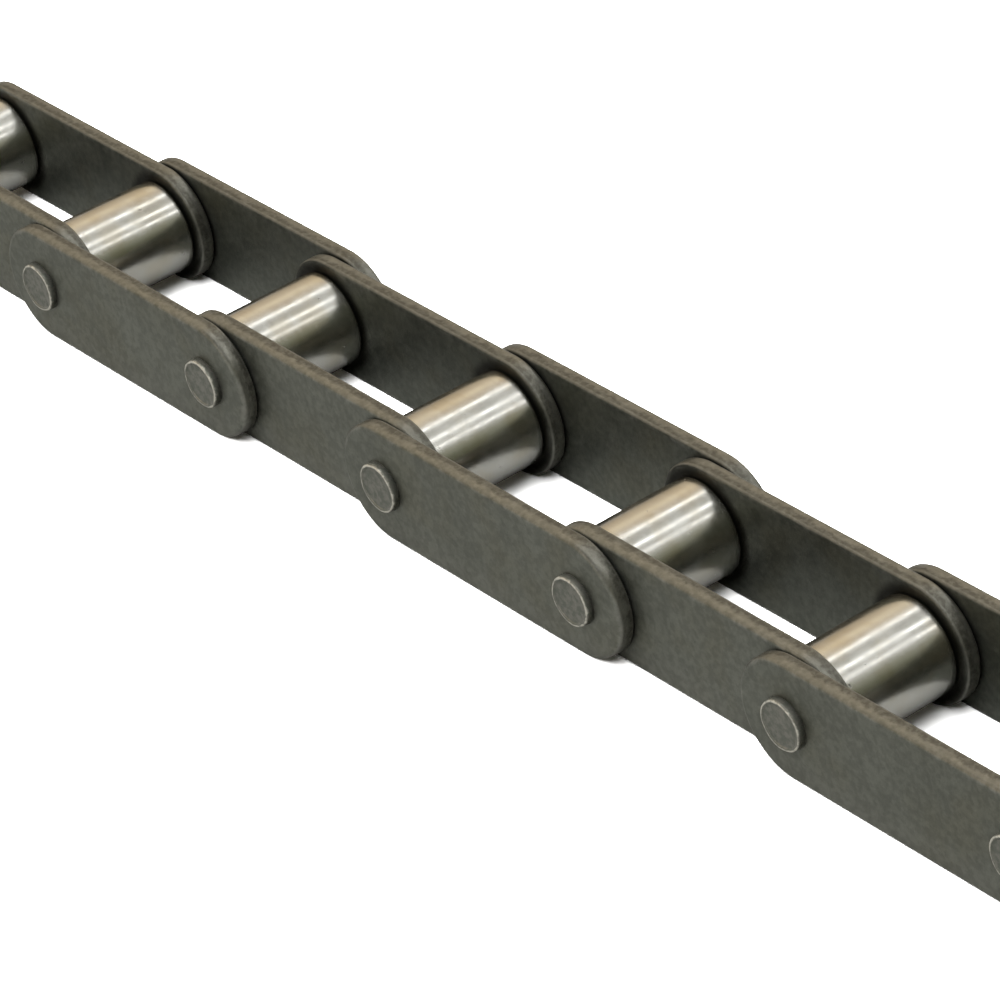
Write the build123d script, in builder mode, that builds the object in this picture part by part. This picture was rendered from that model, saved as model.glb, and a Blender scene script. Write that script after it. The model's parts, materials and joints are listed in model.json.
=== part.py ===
from build123d import *

import os

# A length of straight-sidebar conveyor chain, laid out straight on the lower edges of its sidebars.
# X runs along the chain, Y across it and Z up. The origin is under the middle of the length,
# on the surface that the chain lies on. All sizes are in millimetres.

# ---- driving dimensions ----
pitch = 66.27  # from one pin to the next
roller_links = 4  # a roller link stands at both ends, and a pin link between each two

inner_width = 27.8  # between the inner plates, the room for a wheel's tooth
plate_height = 28.6
plate_thickness = 4.0
plate_edge_break = 0.8  # the rolled edge that punching leaves on the outward face
plate_side_gap = 0.4  # between an inner plate and the outer plate beside it

roller_diameter = 23.0
roller_end_gap = 0.3  # at each end of a roller
roller_edge_break = 0.4
roller_clearance = 0.09  # radial, the roller turning on its bush

bush_diameter = 15.9
pin_diameter = 11.1
pin_clearance = 0.08  # radial, the pin turning in its bush

rivet_diameter = 11.9
rivet_height = 1.8  # beyond the outer plate
rivet_edge_break = 0.9

# ---- sizes that follow ----
axis_height = plate_height / 2
pin_link_count = roller_links - 1
joint_count = 2 * roller_links
half_length = (joint_count - 1) * pitch / 2
inner_plate_y = inner_width / 2  # inward face of an inner plate
outer_plate_y = inner_plate_y + plate_thickness + plate_side_gap
rivet_seat_y = outer_plate_y + plate_thickness
roller_length = inner_width - 2 * roller_end_gap
bush_length = inner_width + 2 * plate_thickness
bush_bore_radius = pin_diameter / 2 + pin_clearance
roller_bore_radius = bush_diameter / 2 + roller_clearance
sides = {"front": -1, "rear": 1}


def joint_x(joint):
    """Where joint 0, 1, 2 ... of the chain stands along X."""
    return joint * pitch - half_length


def round_plane(x, y):
    """A sketch plane across the chain at y, centred on a pin axis or link, its normal along +Y."""
    return Plane(origin=(x, y, axis_height), x_dir=(1, 0, 0), z_dir=(0, 1, 0))


def link_plate(middle_x, inward_y, side, hole_diameter):
    """A punched sidebar: full-round ends, two holes a pitch apart and a rolled outward edge."""
    with BuildPart() as plate:
        with BuildSketch(round_plane(middle_x, side * inward_y)):
            SlotCenterToCenter(pitch, plate_height)
            with GridLocations(pitch, 0, 2, 1):
                Circle(hole_diameter / 2, mode=Mode.SUBTRACT)
        extrude(amount=side * plate_thickness)
        outward_face = plate.faces().sort_by(Axis.Y)[-1 if side > 0 else 0]
        chamfer(outward_face.outer_wire().edges(), plate_edge_break)
    return plate.part


def bush(x):
    """A plain bush, pressed flush into both inner plates of its link."""
    with BuildPart() as tube:
        with BuildSketch(round_plane(x, 0)):
            Circle(bush_diameter / 2)
            Circle(bush_bore_radius, mode=Mode.SUBTRACT)
        extrude(amount=bush_length / 2, both=True)
    return tube.part


def roller(x):
    """A turned roller, free on its bush between the inner plates."""
    with BuildPart() as tube:
        with BuildSketch(round_plane(x, 0)):
            Circle(roller_diameter / 2)
        extrude(amount=roller_length / 2, both=True)
        chamfer(tube.edges().filter_by(GeomType.CIRCLE), roller_edge_break)
        with Locations(round_plane(x, 0)):
            Hole(roller_bore_radius)
    return tube.part


def riveted_pin(x):
    """A pin turned in one profile: shank, and a head upset over each outer plate."""
    shank = pin_diameter / 2
    head = rivet_diameter / 2
    end_y = rivet_seat_y + rivet_height
    with BuildPart() as pin:
        with BuildSketch(Plane(origin=(x, 0, axis_height), x_dir=(1, 0, 0), z_dir=(0, 0, 1))):
            with BuildLine():
                Polyline(
                    (0, 0),
                    (shank, 0),
                    (shank, rivet_seat_y),
                    (head, rivet_seat_y),
                    (head, end_y - rivet_edge_break),
                    (head - rivet_edge_break, end_y),
                    (0, end_y),
                    close=True,
                )
            make_face()
            mirror(about=Plane.XZ)
        revolve(axis=Axis((x, 0, axis_height), (0, 1, 0)))
    return pin.part


def save(part, name):
    """Label one finished piece and write it as its own node."""
    part.label = name
    export_step(part, f"parts/{name}.step")


os.makedirs("parts", exist_ok=True)

for link in range(roller_links):
    first_joint = 2 * link
    middle = joint_x(first_joint) + pitch / 2
    for side_name, side in sides.items():
        plate = link_plate(middle, inner_plate_y, side, bush_diameter)
        save(plate, f"inner_plate_{side_name}_{link + 1}")
    for joint in (first_joint, first_joint + 1):
        save(bush(joint_x(joint)), f"bush_{joint + 1}")
        save(roller(joint_x(joint)), f"roller_{joint + 1}")

for link in range(pin_link_count):
    first_joint = 2 * link + 1
    middle = joint_x(first_joint) + pitch / 2
    for side_name, side in sides.items():
        plate = link_plate(middle, outer_plate_y, side, pin_diameter)
        save(plate, f"outer_plate_{side_name}_{link + 1}")
    for joint in (first_joint, first_joint + 1):
        save(riveted_pin(joint_x(joint)), f"pin_{joint}")
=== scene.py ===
import json
import math

import bmesh
import bpy
from bpy.props import FloatProperty, FloatVectorProperty, IntProperty, PointerProperty
from bpy.types import Operator, Panel, PropertyGroup
from mathutils import Matrix, Vector


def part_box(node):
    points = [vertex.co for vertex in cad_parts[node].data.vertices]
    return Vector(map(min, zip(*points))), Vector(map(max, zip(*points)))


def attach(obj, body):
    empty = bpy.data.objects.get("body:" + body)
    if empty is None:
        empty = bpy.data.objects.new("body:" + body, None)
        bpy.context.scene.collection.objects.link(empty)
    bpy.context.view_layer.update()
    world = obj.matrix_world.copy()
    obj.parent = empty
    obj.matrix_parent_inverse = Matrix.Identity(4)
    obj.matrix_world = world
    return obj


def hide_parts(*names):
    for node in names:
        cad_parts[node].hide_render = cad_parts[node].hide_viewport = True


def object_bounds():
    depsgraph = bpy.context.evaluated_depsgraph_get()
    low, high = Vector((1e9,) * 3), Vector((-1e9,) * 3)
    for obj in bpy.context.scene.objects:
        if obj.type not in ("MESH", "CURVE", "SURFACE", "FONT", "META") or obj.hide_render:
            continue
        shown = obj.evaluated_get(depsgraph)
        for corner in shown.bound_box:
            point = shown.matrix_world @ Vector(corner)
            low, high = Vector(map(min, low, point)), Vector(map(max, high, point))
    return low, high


bl_info = {
    "name": "Conveyor chain",
    "version": (1, 0, 0),
    "blender": (4, 5, 0),
    "location": "3D View > Sidebar > Chain",
    "description": "Dresses a packed length of conveyor chain in punched, turned and riveted steel",
    "category": "Add Mesh",
}

# X runs along the chain, Y across it and Z up, in metres. Every finished piece stands where its
# solid stands in the frame, and takes its main sizes from that solid.

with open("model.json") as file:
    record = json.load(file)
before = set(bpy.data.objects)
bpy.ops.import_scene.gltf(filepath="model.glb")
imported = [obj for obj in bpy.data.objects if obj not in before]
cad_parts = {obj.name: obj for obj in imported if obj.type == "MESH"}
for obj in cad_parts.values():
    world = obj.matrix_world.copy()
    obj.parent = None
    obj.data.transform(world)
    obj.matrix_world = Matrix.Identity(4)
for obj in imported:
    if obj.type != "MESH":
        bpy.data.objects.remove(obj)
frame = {"record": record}
solid_low, solid_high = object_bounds()

MM = 0.001
TOUCH = 1e-6  # two points nearer than this are one
ACROSS = Vector((0, 1, 0))  # every pin, bush and roller lies this way
BODIES = frame["record"]["behaviour"]["bodies"]
MOUNTS = {mount["name"]: mount for mount in frame["record"]["mounts"]}
BUSH_BORE = MOUNTS["left_end_bush"]["dims"]["r_mm"] * MM

SHADE_RING_FULL, SHADE_RING_GONE = 12.2 * MM, 15.0 * MM  # from a joint: how far the painted shade ring round a roller is black, and where it ends
BOUNCE_LIGHT_FULL, BOUNCE_LIGHT_GONE = 2 * MM, 10 * MM  # above the table: where a plate's painted bounce light is strongest, and where it is weakest
DISH_REACH, RIM_START = 0.83, 0.88  # shares of a pin head's radius: its dish ends, its rim begins
RIM_MIDDLE, RIM_BAND = 0.95, 0.08  # shares of a pin head's radius: middle and half width of the worn rim
STRIP_ANGLES = (106, 74, 54)  # of the strip lights, in degrees up from the chain's right end
STRIP_HEIGHT = 2.0
CAMERA_AIM = Vector((-21.43 * MM, -0.4 * MM, 4.46 * MM))


# ---- what a user would change ----


def length(name, description, default):
    return FloatProperty(
        name=name, description=description, default=default, min=0, unit="LENGTH", precision=5
    )


def colour(name, description, default):
    return FloatVectorProperty(
        name=name, description=description, default=default, min=0, max=1, size=3, subtype="COLOR"
    )


class ChainSizes(PropertyGroup):
    """Small forms that the solids leave out."""

    outward_edge: length("Outward edge", "Radius that the punch rolls onto a plate's outward edge", 1.1 * MM)
    inward_edge: length("Inward edge", "Radius of a plate's inward edge after tumbling", 0.6 * MM)
    edge_wear: length("Edge wear", "How far rubbing reaches from an edge onto the flat", 1.2 * MM)
    hole_break: length("Hole break", "Break at the mouth of a plate's hole", 0.25 * MM)
    shank_radius: length("Pin shank radius", "Radius of a pin where it passes through the plates", 5.55 * MM)
    roller_edge: length("Roller edge", "Radius turned onto a roller's rims", 0.35 * MM)
    roller_clearance: length("Roller clearance", "Radial play of a roller on its bush", 0.09 * MM)
    bush_edge: length("Bush edge", "Break at a bush's ends", 0.35 * MM)
    head_dish: length("Head dish", "Depth that the riveting tool sinks into a pin's head", 0.30 * MM)
    head_edge: length("Head edge", "Radius at the outer edge of a pin's head", 0.40 * MM)
    head_flats: length("Head flats", "How far the tool's jaws flatten the side of a pin's head", 0.2 * MM)
    turns: IntProperty(name="Facets round", description="Facets round a turned piece", default=96, min=24)


class ChainColours(PropertyGroup):
    """Colours of the finished steel."""

    oxide_dark: colour("Dark oxide", "The darker patches of the heat-treated plates", (0.148, 0.156, 0.134))
    oxide_light: colour("Light oxide", "The lighter patches of the plates", (0.200, 0.209, 0.184))
    oxide_warm: colour("Warm oxide", "The olive cast on some of the plates", (0.168, 0.168, 0.132))
    punched: colour("Punched edge", "A plate's cut edge", (0.220, 0.218, 0.192))
    torn: colour("Torn edge", "The darker half of a cut edge, where the punch tore the steel",
                 (0.124, 0.121, 0.103))
    # burnished steel for rubbed edges, also used as the painted bounce light low on a plate's outward face
    burnish_and_painted_light: colour("Burnished edge", "Steel where an edge has been rubbed", (0.270, 0.270, 0.243))
    # painted shade: the dark ring that the roller's shade lays on an inner plate round the roller's end
    painted_shade_colour: colour("Painted shade", "The painted shade ring round a roller's end on an inner plate",
                  (0.030, 0.029, 0.024))
    turned: colour("Turned steel", "The rollers", (0.690, 0.685, 0.650))
    straw: colour("Straw tint", "The oil film on parts of a roller", (0.600, 0.550, 0.440))
    head: colour("Pin head", "The pressed face of a pin", (0.215, 0.210, 0.186))
    head_rim: colour("Pin head rim", "The raised rim of a pin's head", (0.620, 0.600, 0.530))
    bush: colour("Bush steel", "Hardened bushes", (0.150, 0.148, 0.138))


class ChainStage(PropertyGroup):
    """The table, the lights and the camera."""

    azimuth: FloatProperty(
        name="Azimuth", default=math.radians(55.88), subtype="ANGLE",
        description="Where the camera stands round the chain, 0 in front and 90 at the right end",
    )
    elevation: FloatProperty(name="Elevation", default=math.radians(32.64), subtype="ANGLE",
                             description="How high the camera stands above the table")
    roll: FloatProperty(name="Roll", default=math.radians(8.57), subtype="ANGLE",
                        description="How far the camera leans to its right")
    distance: length("Distance", "From the camera to the point that it looks at", 1.1011)
    lens: FloatProperty(
        name="Lens", description="Focal length in millimetres", default=181.14, unit="CAMERA"
    )
    strip_light: FloatProperty(
        name="Strip lights", description="Brightness of the three strips", default=2.6, min=0
    )
    soft_light: FloatProperty(
        name="Soft light", description="Brightness of the wide diffuser", default=16.0, min=0
    )
    table: colour("Table", "The pale table top", (0.90, 0.90, 0.895))
    table_bounce: colour("Table bounce", "The table as the steel mirrors it, toned down with grey card",
                         (0.098, 0.098, 0.093))


# ---- shader nodes ----


def add_node(tree, kind, settings=None, **inputs):
    """Add a shader node. An input is a plain value or another node's output, and _ stands for a space."""
    made = tree.nodes.new("ShaderNode" + kind)
    for key, value in (settings or {}).items():
        setattr(made, key, value)
    for key, value in inputs.items():
        connect(tree, made.inputs[key.replace("_", " ")], value)
    return made


def connect(tree, socket, value):
    """Link an output into a socket, or set the socket to a plain value."""
    if isinstance(value, bpy.types.NodeSocket):
        tree.links.new(value, socket)
    elif socket.type == "RGBA":
        socket.default_value = (*value, 1)
    else:
        socket.default_value = value


def maths(tree, operation, a, b=0.0, clamp=False):
    made = add_node(tree, "Math", {"operation": operation, "use_clamp": clamp})
    connect(tree, made.inputs[0], a)
    connect(tree, made.inputs[1], b)
    return made.outputs[0]


def mix(tree, share, a, b, blend_type="MIX"):
    """Colour a, going over to colour b as share goes from 0 to 1."""
    made = add_node(tree, "Mix", {"data_type": "RGBA", "blend_type": blend_type})
    for socket, value in zip((made.inputs[0], made.inputs[6], made.inputs[7]), (share, a, b)):
        connect(tree, socket, value)
    return made.outputs[2]


def spread(tree, value, low, high, to_low=0.0, to_high=1.0):
    """Stretch low..high over to_low..to_high with soft ends."""
    made = add_node(tree, "MapRange", {"interpolation_type": "SMOOTHSTEP"}, Value=value)
    for key, number in (("From Min", low), ("From Max", high), ("To Min", to_low), ("To Max", to_high)):
        made.inputs[key].default_value = number
    return made.outputs["Result"]


def noise(tree, where, scale, detail=2.0, roughness=0.5):
    made = add_node(tree, "TexNoise", Vector=where, Scale=scale, Detail=detail, Roughness=roughness)
    return made.outputs["Fac"]


def stretched(tree, where, scale, turn=(0, 0, 0)):
    """The same place, with its axes turned and scaled, so that a pattern comes out drawn along one way."""
    return add_node(tree, "Mapping", Vector=where, Scale=scale, Rotation=turn).outputs["Vector"]


def mark(tree, name):
    """A share that the mesh holds at each of its points."""
    return add_node(tree, "Attribute", {"attribute_name": name}).outputs["Fac"]


def relief(tree, height, depth, under=None):
    """A bump of that depth in metres, over another one where one is given."""
    made = add_node(tree, "Bump", Height=height, Distance=depth, Strength=1.0)
    if under is not None:
        connect(tree, made.inputs["Normal"], under)
    return made.outputs["Normal"]


def start_steel(name, metallic, specular=0.5):
    """A material with its tree, its shader and the place on the piece."""
    material = bpy.data.materials.new(name)
    material.use_nodes = True
    tree = material.node_tree
    shader = tree.nodes["Principled BSDF"]
    shader.inputs["Metallic"].default_value = metallic
    shader.inputs["Specular IOR Level"].default_value = specular
    where = add_node(tree, "TexCoord").outputs["Object"]
    return material, tree, shader, where


def plate_steel(colours):
    """Heat-treated plate: mottled grey oxide, cut edges a little lighter, corners rubbed, with painted shade
    round each roller's end and painted bounce light low on the outward face.
    """
    material, tree, shader, where = start_steel("plate_steel", metallic=0.97)
    broad = noise(tree, where, 38, 3, 0.6)
    blotch = noise(tree, where, 230, 5, 0.66)
    speck = noise(tree, where, 900, 3, 0.6)
    grain = noise(tree, where, 3400, 2, 0.6)
    patch = maths(tree, "ADD", maths(tree, "MULTIPLY", broad, 0.45), maths(tree, "MULTIPLY", blotch, 0.55))
    base = mix(tree, spread(tree, patch, 0.38, 0.62), colours.oxide_dark, colours.oxide_light)
    olive = spread(tree, noise(tree, where, 62, 2, 0.5), 0.45, 0.72, 0, 0.7)
    base = mix(tree, olive, base, colours.oxide_warm)

    rim = mark(tree, "rim")
    across = mark(tree, "across")
    ragged = maths(tree, "ADD", rim, spread(tree, blotch, 0.3, 0.7, -0.20, 0.20))
    rubbed = spread(tree, ragged, 0.50, 0.95)
    cut = spread(tree, rim, 0.80, 0.985)
    torn = spread(tree, maths(tree, "ADD", across, spread(tree, blotch, 0.3, 0.7, -0.18, 0.18)), 0.62, 0.36)
    edge = mix(tree, maths(tree, "MULTIPLY", torn, spread(tree, speck, 0.35, 0.6, 0.3, 1.0)),
               colours.punched, colours.torn)
    base = mix(tree, maths(tree, "MULTIPLY", rubbed, 0.8), base, colours.burnish_and_painted_light)
    # painted bounce light: the outward face lighter, most of all towards its lower part
    base = mix(tree, painted_bounce_light(tree, where, across, blotch), base, colours.burnish_and_painted_light)
    border = spread(tree, maths(tree, "ABSOLUTE", maths(tree, "SUBTRACT", across, 0.5)), 0.28, 0.42, 0, 0.6)
    edge = mix(tree, border, edge, colours.burnish_and_painted_light)
    base = mix(tree, cut, base, edge)
    # painted shade: the inward face darkened round each roller's end
    base = mix(tree, painted_shade_ring(tree, where, across), base, colours.painted_shade_colour)
    base = mix(tree, 1.0, base, mix(tree, speck, (0.84, 0.84, 0.84), (1.16, 1.16, 1.16)), "MULTIPLY")
    mottle = spread(tree, noise(tree, where, 600, 2, 0.5), 0.35, 0.65)
    base = mix(tree, 1.0, base, mix(tree, mottle, (0.90, 0.90, 0.90), (1.10, 1.10, 1.10)), "MULTIPLY")
    base = mix(tree, 1.0, base, mix(tree, grain, (0.88, 0.88, 0.88), (1.12, 1.12, 1.12)), "MULTIPLY")
    connect(tree, shader.inputs["Base Color"], base)

    rough = spread(tree, blotch, 0.3, 0.7, 0.42, 0.54)
    rough = maths(tree, "SUBTRACT", rough, maths(tree, "MULTIPLY", rubbed, 0.10))
    rough = maths(tree, "ADD", rough, maths(tree, "MULTIPLY", maths(tree, "MULTIPLY", cut, torn), 0.12))
    connect(tree, shader.inputs["Roughness"], rough)

    scale_marks = relief(tree, blotch, 0.06 * MM)
    pits = relief(tree, speck, 0.03 * MM, scale_marks)
    sand = relief(tree, grain, 0.012 * MM, pits)
    torn_edge = noise(tree, stretched(tree, where, (900, 350, 900)), 1, 3, 0.6)
    tears = maths(tree, "MULTIPLY", torn_edge, maths(tree, "MULTIPLY", cut, torn))
    connect(tree, shader.inputs["Normal"], relief(tree, tears, 0.10 * MM, sand))
    return material


def painted_bounce_light(tree, where, across, blotch):
    """Painted bounce light: the outward face of a plate made lighter, most of all along its lower part, as
    though lit from the table below.
    """
    height = add_node(tree, "SeparateXYZ", Vector=where).outputs["Z"]
    uneven = maths(tree, "ADD", height, spread(tree, blotch, 0.3, 0.7, -1.5 * MM, 1.5 * MM))
    brightened = spread(tree, uneven, BOUNCE_LIGHT_GONE, BOUNCE_LIGHT_FULL, 0.12, 0.45)
    return maths(tree, "MULTIPLY", brightened, spread(tree, across, 0.95, 1.0))


def painted_shade_ring(tree, where, across):
    """Painted shade: the inward face of a plate darkened round each joint and just past the roller's rim,
    where the roller shades it.
    """
    roller_low, roller_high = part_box("roller_1")
    next_low, next_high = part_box("roller_2")
    pitch = next_low.x - roller_low.x
    first_x = (roller_low.x + roller_high.x) / 2
    part = add_node(tree, "SeparateXYZ", Vector=where)
    along = add_node(tree, "Math", {"operation": "PINGPONG"})
    connect(tree, along.inputs[0], maths(tree, "SUBTRACT", part.outputs["X"], first_x))
    connect(tree, along.inputs[1], pitch / 2)
    up = maths(tree, "SUBTRACT", part.outputs["Z"], (roller_low.z + roller_high.z) / 2)
    along_squared = maths(tree, "POWER", along.outputs[0], 2.0)
    squares = maths(tree, "ADD", along_squared, maths(tree, "MULTIPLY", up, up))
    reach = maths(tree, "SQRT", squares)
    near = spread(tree, reach, SHADE_RING_GONE, SHADE_RING_FULL)
    return maths(tree, "MULTIPLY", near, spread(tree, across, 0.05, 0.0))


def roller_steel(colours):
    """Bright turned steel: fine rings round the roller, a few small nicks and a straw-coloured oil film."""
    material, tree, shader, where = start_steel("roller_steel", metallic=1.0)
    film = spread(tree, noise(tree, where, 95, 3, 0.55), 0.44, 0.68, 0, 0.55)
    rings = noise(tree, stretched(tree, where, (25, 5200, 25)), 1, 3, 0.7)
    nick = spread(tree, noise(tree, where, 520, 2, 0.5), 0.735, 0.775)
    base = mix(tree, film, colours.turned, colours.straw)
    base = mix(tree, 1.0, base, mix(tree, rings, (0.90, 0.90, 0.90), (1.08, 1.08, 1.08)), "MULTIPLY")
    base = mix(tree, maths(tree, "MULTIPLY", nick, 0.8), base, colours.bush)
    connect(tree, shader.inputs["Base Color"], base)
    rough = spread(tree, noise(tree, where, 160, 3, 0.6), 0.3, 0.7, 0.17, 0.27)
    connect(tree, shader.inputs["Roughness"], maths(tree, "ADD", rough, maths(tree, "MULTIPLY", nick, 0.3)))
    turned = relief(tree, rings, 0.0035 * MM)
    hollow = maths(tree, "SUBTRACT", 1.0, nick)
    connect(tree, shader.inputs["Normal"], relief(tree, hollow, 0.03 * MM, turned))
    return material


def pin_steel(colours):
    """A pressed pin head: an olive-grey hollow face inside a bright raised rim."""
    material, tree, shader, where = start_steel("pin_steel", metallic=0.9)
    blotch = noise(tree, where, 700, 4, 0.62)
    rim = maths(tree, "ADD", mark(tree, "rim"), spread(tree, blotch, 0.3, 0.7, -0.25, 0.25))
    face = mix(tree, spread(tree, blotch, 0.35, 0.65), colours.head, colours.oxide_dark)
    base = mix(tree, spread(tree, rim, 0.35, 0.85), face, colours.head_rim)
    connect(tree, shader.inputs["Base Color"], base)
    connect(tree, shader.inputs["Roughness"], spread(tree, blotch, 0.3, 0.7, 0.30, 0.44))
    pressed = relief(tree, blotch, 0.06 * MM)
    grain = noise(tree, where, 3200, 2, 0.6)
    connect(tree, shader.inputs["Normal"], relief(tree, grain, 0.015 * MM, pressed))
    return material


def bush_steel(colours):
    """A hardened bush: dark, satin and turned."""
    material, tree, shader, where = start_steel("bush_steel", metallic=0.9)
    rings = noise(tree, stretched(tree, where, (40, 3000, 40)), 1, 3, 0.6)
    base = mix(tree, spread(tree, rings, 0.3, 0.7), colours.bush, colours.oxide_light)
    connect(tree, shader.inputs["Base Color"], base)
    connect(tree, shader.inputs["Roughness"], spread(tree, rings, 0.3, 0.7, 0.32, 0.45))
    connect(tree, shader.inputs["Normal"], relief(tree, rings, 0.008 * MM))
    return material


# ---- forms ----


def nodes_of(kind):
    """Each solid of one kind with the body that it rides on."""
    return [(name, body) for body, names in BODIES.items() for name in names if name.startswith(kind)]


def dress(bm, node, body, finish, material):
    """Turn a bmesh into the finished piece that stands for a solid."""
    bmesh.ops.remove_doubles(bm, verts=bm.verts, dist=TOUCH)
    bmesh.ops.recalc_face_normals(bm, faces=bm.faces)
    for face in bm.faces:
        face.smooth = abs(face.normal.y) < 0.9999
    mesh = bpy.data.meshes.new(f"{node}_{finish}")
    bm.to_mesh(mesh)
    bm.free()
    mesh.materials.append(material)
    piece = bpy.data.objects.new(f"{node}_{finish}", mesh)
    bpy.context.scene.collection.objects.link(piece)
    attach(piece, body)
    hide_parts(node)
    return piece


def level_with(items, y):
    """The vertices, edges or faces that lie wholly in the plane at y."""
    return [item for item in items if all(abs(vert.co.y - y) < TOUCH for vert in item.verts)]


def round_off(bm, edges, radius, segments):
    bmesh.ops.bevel(bm, geom=edges, offset=radius, offset_type="OFFSET", segments=segments,
                    profile=0.5, affect="EDGES", material=-1, clamp_overlap=True)


def plate_blank(bm, joints, axis_z, radius, inward_y, outward_y, steps=44):
    """A solid plate: half a circle round each joint, straight edges between them."""
    half_rounds = []
    for x, start_z in ((joints[1], axis_z + radius), (joints[0], axis_z - radius)):
        start = bm.verts.new((x, inward_y, start_z))
        swept = bmesh.ops.spin(bm, geom=[start], cent=(x, inward_y, axis_z), axis=ACROSS,
                               angle=math.pi, steps=steps)
        half_rounds.append((start, swept["geom_last"][0]))
    (right_top, right_bottom), (left_bottom, left_top) = half_rounds
    bm.edges.new((right_bottom, left_bottom))
    bm.edges.new((left_top, right_top))
    bmesh.ops.edgeloop_fill(bm, edges=bm.edges[:])
    grown = bmesh.ops.extrude_face_region(bm, geom=bm.faces[:])
    moved = [item for item in grown["geom"] if isinstance(item, bmesh.types.BMVert)]
    bmesh.ops.translate(bm, verts=moved, vec=(0, outward_y - inward_y, 0))


def hole_ring(bm, x, y, z, radius, segments=56):
    """A circle of edges facing across the chain."""
    place = Matrix.Translation((x, y, z)) @ Matrix.Rotation(math.pi / 2, 4, "X")
    made = bmesh.ops.create_circle(bm, cap_ends=False, segments=segments, radius=radius, matrix=place)
    return list({edge for vert in made["verts"] for edge in vert.link_edges})


def pierce(bm, joints, axis_z, radius, faces_y, mouth):
    """Cut a round hole through the plate at each joint, with a small break at both mouths."""
    rings = {x: [] for x in joints}
    inward_y, outward_y = faces_y
    into = math.copysign(mouth, outward_y - inward_y)
    for y, inside in ((inward_y, into), (outward_y, -into)):
        flat = max(level_with(bm.faces, y), key=lambda face: face.calc_area())
        outline = flat.edges[:]
        bmesh.ops.delete(bm, geom=[flat], context="FACES_ONLY")
        mouths = [hole_ring(bm, x, y, axis_z, radius + mouth) for x in joints]
        bmesh.ops.triangle_fill(bm, use_beauty=True, edges=outline + mouths[0] + mouths[1])
        for x, ring in zip(joints, mouths):
            throat = hole_ring(bm, x, y + inside, axis_z, radius)
            bmesh.ops.bridge_loops(bm, edges=ring + throat)
            rings[x].append(throat)
    for near, far in rings.values():
        bmesh.ops.bridge_loops(bm, edges=near + far)


def mark_plate(bm, joints, axis_z, radius, faces_y, band):
    """Note on each point how near the rim it is, and how far through the plate."""
    rim = bm.verts.layers.float.new("rim")
    across = bm.verts.layers.float.new("across")
    inward_y, outward_y = faces_y
    for vert in bm.verts:
        nearest = min(max(vert.co.x, joints[0]), joints[1])
        reach = math.hypot(vert.co.x - nearest, vert.co.z - axis_z)
        vert[rim] = min(max(1 + (reach - radius) / band, 0), 1)
        vert[across] = (vert.co.y - inward_y) / (outward_y - inward_y)


def punched_plate(node, body, hole_radius, material, sizes):
    """One sidebar plate, rolled over at its outward edge, with a hole at each end."""
    low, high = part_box(node)
    radius = (high.z - low.z) / 2
    axis_z = low.z + radius
    joints = (low.x + radius, high.x - radius)
    faces_y = (low.y, high.y) if low.y > 0 else (high.y, low.y)
    bm = bmesh.new()
    plate_blank(bm, joints, axis_z, radius, *faces_y)
    for y, edge in zip(faces_y, (sizes.inward_edge, sizes.outward_edge)):
        round_off(bm, level_with(bm.edges, y), edge, segments=4)
        flat = max(level_with(bm.faces, y), key=lambda face: face.calc_area())
        bmesh.ops.inset_region(bm, faces=[flat], thickness=sizes.edge_wear, use_even_offset=True)
    pierce(bm, joints, axis_z, hole_radius, faces_y, sizes.hole_break)
    mark_plate(bm, joints, axis_z, radius, faces_y, sizes.outward_edge + sizes.edge_wear)
    dress(bm, node, body, "punched", material)


def lathe(bm, centre, profile, steps, closed):
    """Spin a profile, given as (radius, distance along Y) corners, once round the axis through centre."""
    points = [bm.verts.new(centre + Vector((0, y, radius))) for radius, y in profile]
    ends = points[1:] + points[:1] if closed else points[1:]
    lines = [bm.edges.new(pair) for pair in zip(points, ends)]
    bmesh.ops.spin(bm, geom=points + lines, cent=centre, axis=ACROSS, angle=2 * math.pi,
                   steps=steps, use_merge=True)
    bmesh.ops.remove_doubles(bm, verts=bm.verts, dist=TOUCH)


def circle_edges(bm, centre, radius, y):
    """The edges of the turned circle of that radius at y from the centre."""
    found = []
    for edge in level_with(bm.edges, centre.y + y):
        if all(abs(math.hypot(v.co.x - centre.x, v.co.z - centre.z) - radius) < 1e-5 for v in edge.verts):
            found.append(edge)
    return found


def turned_ring(node, body, bore, outer_edge, bore_edge, finish, material, sizes):
    """A roller or a bush: a turned tube, its rims rounded, its walls kept straight up to the rounding."""
    low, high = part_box(node)
    centre = (low + high) / 2
    radius = (high.x - low.x) / 2
    half = (high.y - low.y) / 2
    support = half - 1.35 * outer_edge
    corners = [
        (bore, -half), (radius, -half), (radius, -support),
        (radius, support), (radius, half), (bore, half),
    ]
    bm = bmesh.new()
    lathe(bm, centre, corners, sizes.turns, closed=True)
    for y in (-half, half):
        round_off(bm, circle_edges(bm, centre, radius, y), outer_edge, segments=4)
        round_off(bm, circle_edges(bm, centre, bore, y), bore_edge, segments=2)
    dress(bm, node, body, finish, material)


def riveted_pin(node, body, phase, material, sizes):
    """A pin whose ends the riveting tool has spread: a raised rim round a shallow dish."""
    low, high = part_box(node)
    centre = (low + high) / 2
    head = (high.x - low.x) / 2
    top = (high.y - low.y) / 2
    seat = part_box("outer_plate_rear_1")[1].y
    dish = top - sizes.head_dish
    half = [
        (0, dish), (DISH_REACH * head, dish + 0.02 * MM), (RIM_START * head, top),
        (head, top), (head, seat), (sizes.shank_radius, seat),
    ]
    corners = half + [(radius, -y) for radius, y in reversed(half)]
    bm = bmesh.new()
    lathe(bm, centre, corners, sizes.turns, closed=False)
    for side in (-1, 1):
        for (radius, y), edge in zip(half[1:4], (0.16 * MM, 0.16 * MM, sizes.head_edge)):
            round_off(bm, circle_edges(bm, centre, radius, side * y), edge, segments=3)
    press_head(bm, centre, head, seat, phase, sizes.head_flats)
    dress(bm, node, body, "riveted", material)


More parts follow.
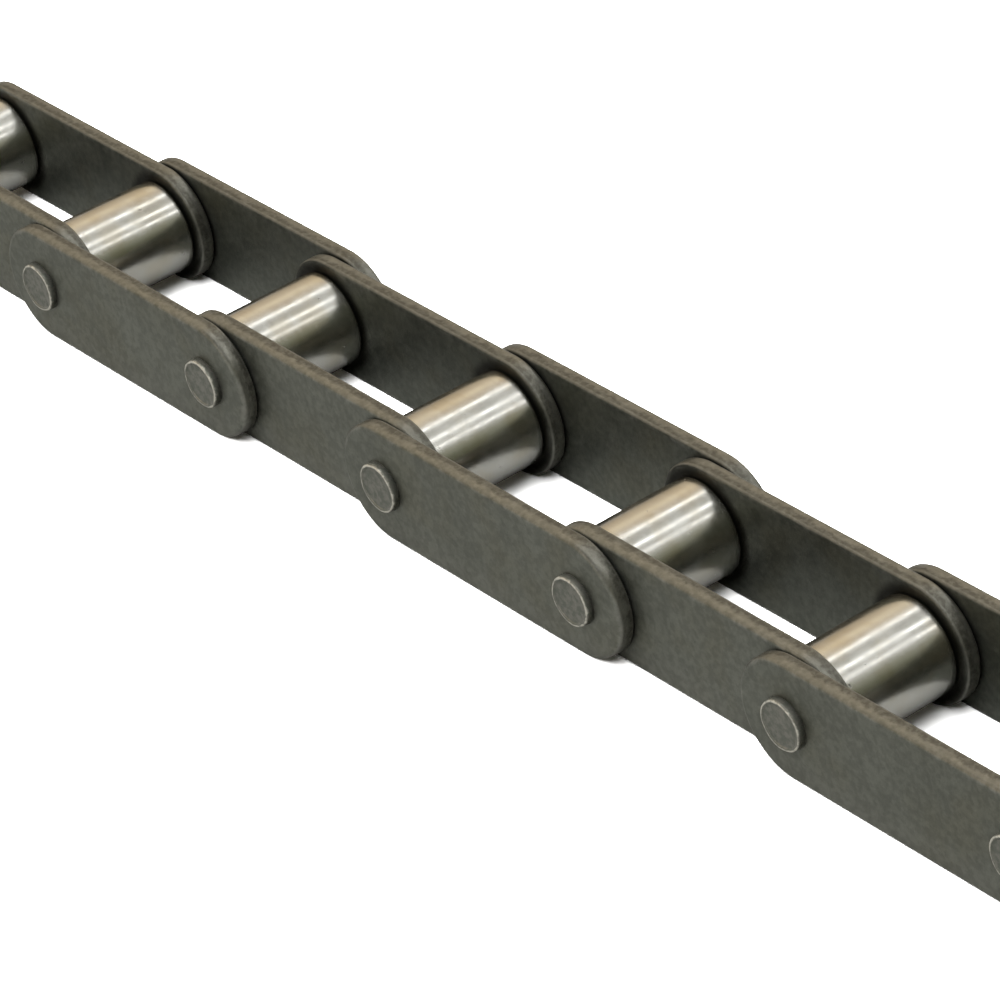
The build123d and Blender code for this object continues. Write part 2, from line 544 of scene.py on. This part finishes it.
def press_head(bm, centre, head, seat, phase, flats):
    """Flatten the head's side a little where the tool's jaws gripped, and mark its rim."""
    rim = bm.verts.layers.float.new("rim")
    for vert in bm.verts:
        out = vert.co - centre
        radius = math.hypot(out.x, out.z)
        if abs(out.y) < seat + TOUCH or radius < TOUCH:
            continue
        turn = math.atan2(out.z, out.x)
        grip = (0.5 + 0.5 * math.cos(5 * turn + phase)) ** 2 + 0.5 * (0.5 + 0.5 * math.cos(2 * turn - phase))
        share = (radius / head) ** 3
        vert[rim] = min(max(1 - abs(radius / head - RIM_MIDDLE) / RIM_BAND, 0), 1)
        shrink = 1 - flats * grip * share / head / 1.5
        vert.co.x = centre.x + out.x * shrink
        vert.co.z = centre.z + out.z * shrink


# ---- operators ----


class CHAIN_OT_plates(Operator):
    """Punch the sidebar plates"""

    bl_idname = "chain.plates"
    bl_label = "Sidebar plates"

    def execute(self, context):
        sizes = context.scene.chain_sizes
        material = plate_steel(context.scene.chain_colours)
        bush_low, bush_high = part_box("bush_1")
        bush_radius = (bush_high.x - bush_low.x) / 2
        for kind, hole_radius in (("inner_plate", bush_radius), ("outer_plate", sizes.shank_radius)):
            for node, body in nodes_of(kind):
                punched_plate(node, body, hole_radius, material, sizes)
        return {"FINISHED"}


class CHAIN_OT_rollers(Operator):
    """Turn the rollers"""

    bl_idname = "chain.rollers"
    bl_label = "Rollers"

    def execute(self, context):
        sizes = context.scene.chain_sizes
        material = roller_steel(context.scene.chain_colours)
        bush_low, bush_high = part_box("bush_1")
        bore = (bush_high.x - bush_low.x) / 2 + sizes.roller_clearance
        for node, body in nodes_of("roller_"):
            turned_ring(node, body, bore, sizes.roller_edge, 0.3 * MM,
                        "turned", material, sizes)
        return {"FINISHED"}


class CHAIN_OT_bushes(Operator):
    """Turn the bushes"""

    bl_idname = "chain.bushes"
    bl_label = "Bushes"

    def execute(self, context):
        sizes = context.scene.chain_sizes
        material = bush_steel(context.scene.chain_colours)
        for node, body in nodes_of("bush_"):
            turned_ring(node, body, BUSH_BORE, sizes.bush_edge, sizes.bush_edge,
                        "turned", material, sizes)
        return {"FINISHED"}


class CHAIN_OT_pins(Operator):
    """Rivet the pins"""

    bl_idname = "chain.pins"
    bl_label = "Riveted pins"

    def execute(self, context):
        sizes = context.scene.chain_sizes
        material = pin_steel(context.scene.chain_colours)
        for count, (node, body) in enumerate(nodes_of("pin_")):
            riveted_pin(node, body, 1.7 * count, material, sizes)
        return {"FINISHED"}


def area_light(name, place, aim, width, depth, brightness, tint=(1, 1, 1), in_gloss=True):
    """A soft rectangular light that looks at aim. Its brightness doesn't change with its size."""
    data = bpy.data.lights.new(name, "AREA")
    data.shape = "RECTANGLE"
    data.size = width
    data.size_y = depth
    data.color = tint
    data.energy = brightness * math.pi * width * depth
    light = bpy.data.objects.new(name, data)
    light.location = place
    light.rotation_euler = (Vector(aim) - Vector(place)).to_track_quat("-Z", "Y").to_euler()
    light.visible_camera = False
    light.visible_glossy = in_gloss
    bpy.context.scene.collection.objects.link(light)
    return light


# How bright the room is, in degrees: from the table's edge past the right end, over the top,
# to the left end.
ROOM_STOPS = (
    (0, (0.06, 0.06, 0.038)),
    (20, (0.13, 0.13, 0.085)),
    (36, (0.30, 0.30, 0.23)),
    (52, (0.55, 0.54, 0.50)),
    (100, (0.56, 0.555, 0.52)),
    (118, (0.66, 0.57, 0.45)),
    (136, (0.95, 0.80, 0.58)),
    (154, (0.62, 0.51, 0.36)),
    (180, (0.30, 0.24, 0.17)),
)


class CHAIN_OT_stage(Operator):
    """Lay the table, hang the lights and set up the camera"""

    bl_idname = "chain.stage"
    bl_label = "Table, lights and camera"

    def execute(self, context):
        stage = context.scene.chain_stage
        self.table(stage)
        self.lights(stage)
        self.room(context, stage)
        self.camera(context, stage)
        context.scene.view_settings.view_transform = "Standard"
        return {"FINISHED"}

    def table(self, stage):
        """The table top that the camera sees, and just under it the duller one that the steel mirrors."""
        seen = self.table_top("table", solid_low.z, stage.table)
        mirrored = self.table_top("table_bounce", solid_low.z - 0.1 * MM, stage.table_bounce)
        mirrored.visible_camera = False
        seen.visible_diffuse = False
        seen.visible_glossy = False
        seen.visible_shadow = False

    def table_top(self, name, height, tint):
        bm = bmesh.new()
        bmesh.ops.create_grid(bm, x_segments=1, y_segments=1, size=12)
        bmesh.ops.translate(bm, verts=bm.verts, vec=(0, 0, height))
        mesh = bpy.data.meshes.new(name)
        bm.to_mesh(mesh)
        bm.free()
        material = bpy.data.materials.new(name)
        material.use_nodes = True
        shader = material.node_tree.nodes["Principled BSDF"]
        shader.inputs["Base Color"].default_value = (*tint, 1)
        shader.inputs["Roughness"].default_value = 0.9
        shader.inputs["Specular IOR Level"].default_value = 0.0
        mesh.materials.append(material)
        top = bpy.data.objects.new(name, mesh)
        bpy.context.scene.collection.objects.link(top)
        return top

    def lights(self, stage):
        for count, angle in enumerate(STRIP_ANGLES):
            x = STRIP_HEIGHT / math.tan(math.radians(angle))
            strip = area_light(f"strip_light_{count + 1}", (x, 1.0, STRIP_HEIGHT), (x, 1.0, 0), 0.18, 3.4,
                               stage.strip_light)
            strip.rotation_euler = (0, 0, 0)
        area_light("soft_light", (0.2, -0.7, 2.2), (0, 0, 0), 2.6, 2.6, stage.soft_light, in_gloss=False)

    def room(self, context, stage):
        """The room: dim beyond the right end, pale overhead, warm and bright beyond the left end."""
        world = bpy.data.worlds.new("room")
        world.use_nodes = True
        tree = world.node_tree
        way = add_node(tree, "TexCoord").outputs["Generated"]
        part = add_node(tree, "SeparateXYZ", Vector=way)
        turn = maths(tree, "DIVIDE", maths(tree, "ARCTAN2", part.outputs["Z"], part.outputs["X"]), math.pi)
        ramp = add_node(tree, "ValToRGB", Fac=turn)
        ramp.color_ramp.interpolation = "EASE"
        while len(ramp.color_ramp.elements) < len(ROOM_STOPS):
            ramp.color_ramp.elements.new(0.5)
        for element, (angle, tint) in zip(ramp.color_ramp.elements, ROOM_STOPS):
            element.position = angle / 180
            element.color = (*tint, 1)
        ahead = spread(tree, part.outputs["Y"], -0.12, -0.42)
        shade = maths(tree, "MULTIPLY", ahead, spread(tree, part.outputs["Z"], 0.5, 0.75))
        over = mix(tree, maths(tree, "MULTIPLY", shade, 0.9), ramp.outputs["Color"], (0.02, 0.02, 0.02))
        low = spread(tree, part.outputs["Z"], 0.02, 0.16)
        background = tree.nodes["Background"]
        connect(tree, background.inputs["Color"], mix(tree, low, (0.75, 0.75, 0.74), over))
        background.inputs["Strength"].default_value = 1.0
        context.scene.world = world

    def camera(self, context, stage):
        turn = (
            Matrix.Rotation(stage.azimuth, 4, "Z")
            @ Matrix.Rotation(math.pi / 2 - stage.elevation, 4, "X")
            @ Matrix.Rotation(-stage.roll, 4, "Z")
        )
        back = turn.to_3x3() @ Vector((0, 0, 1))
        data = bpy.data.cameras.new("camera")
        data.sensor_width = 36
        data.lens = stage.lens
        data.clip_start = 0.05
        data.clip_end = 60
        camera = bpy.data.objects.new("camera", data)
        camera.matrix_world = Matrix.Translation(CAMERA_AIM + back * stage.distance) @ turn
        context.scene.collection.objects.link(camera)
        context.scene.camera = camera


class VIEW3D_PT_chain(Panel):
    """Conveyor chain"""

    bl_label = "Conveyor chain"
    bl_idname = "VIEW3D_PT_chain"
    bl_space_type = "VIEW_3D"
    bl_region_type = "UI"
    bl_category = "Chain"

    def draw(self, context):
        for operator in OPERATORS:
            self.layout.operator(operator.bl_idname)
        for group in (context.scene.chain_sizes, context.scene.chain_colours, context.scene.chain_stage):
            box = self.layout.box()
            for key in group.__annotations__:
                box.prop(group, key)


GROUPS = {"chain_sizes": ChainSizes, "chain_colours": ChainColours, "chain_stage": ChainStage}
OPERATORS = (CHAIN_OT_plates, CHAIN_OT_rollers, CHAIN_OT_bushes, CHAIN_OT_pins, CHAIN_OT_stage)


def register():
    for name, group in GROUPS.items():
        bpy.utils.register_class(group)
        setattr(bpy.types.Scene, name, PointerProperty(type=group))
    for listed in (*OPERATORS, VIEW3D_PT_chain):
        bpy.utils.register_class(listed)


def unregister():
    for listed in (VIEW3D_PT_chain, *reversed(OPERATORS)):
        bpy.utils.unregister_class(listed)
    for name, group in GROUPS.items():
        delattr(bpy.types.Scene, name)
        bpy.utils.unregister_class(group)


def main():
    register()
    bpy.ops.chain.plates()
    bpy.ops.chain.rollers()
    bpy.ops.chain.bushes()
    bpy.ops.chain.pins()
    bpy.ops.chain.stage()


if __name__ == "__main__":
    main()
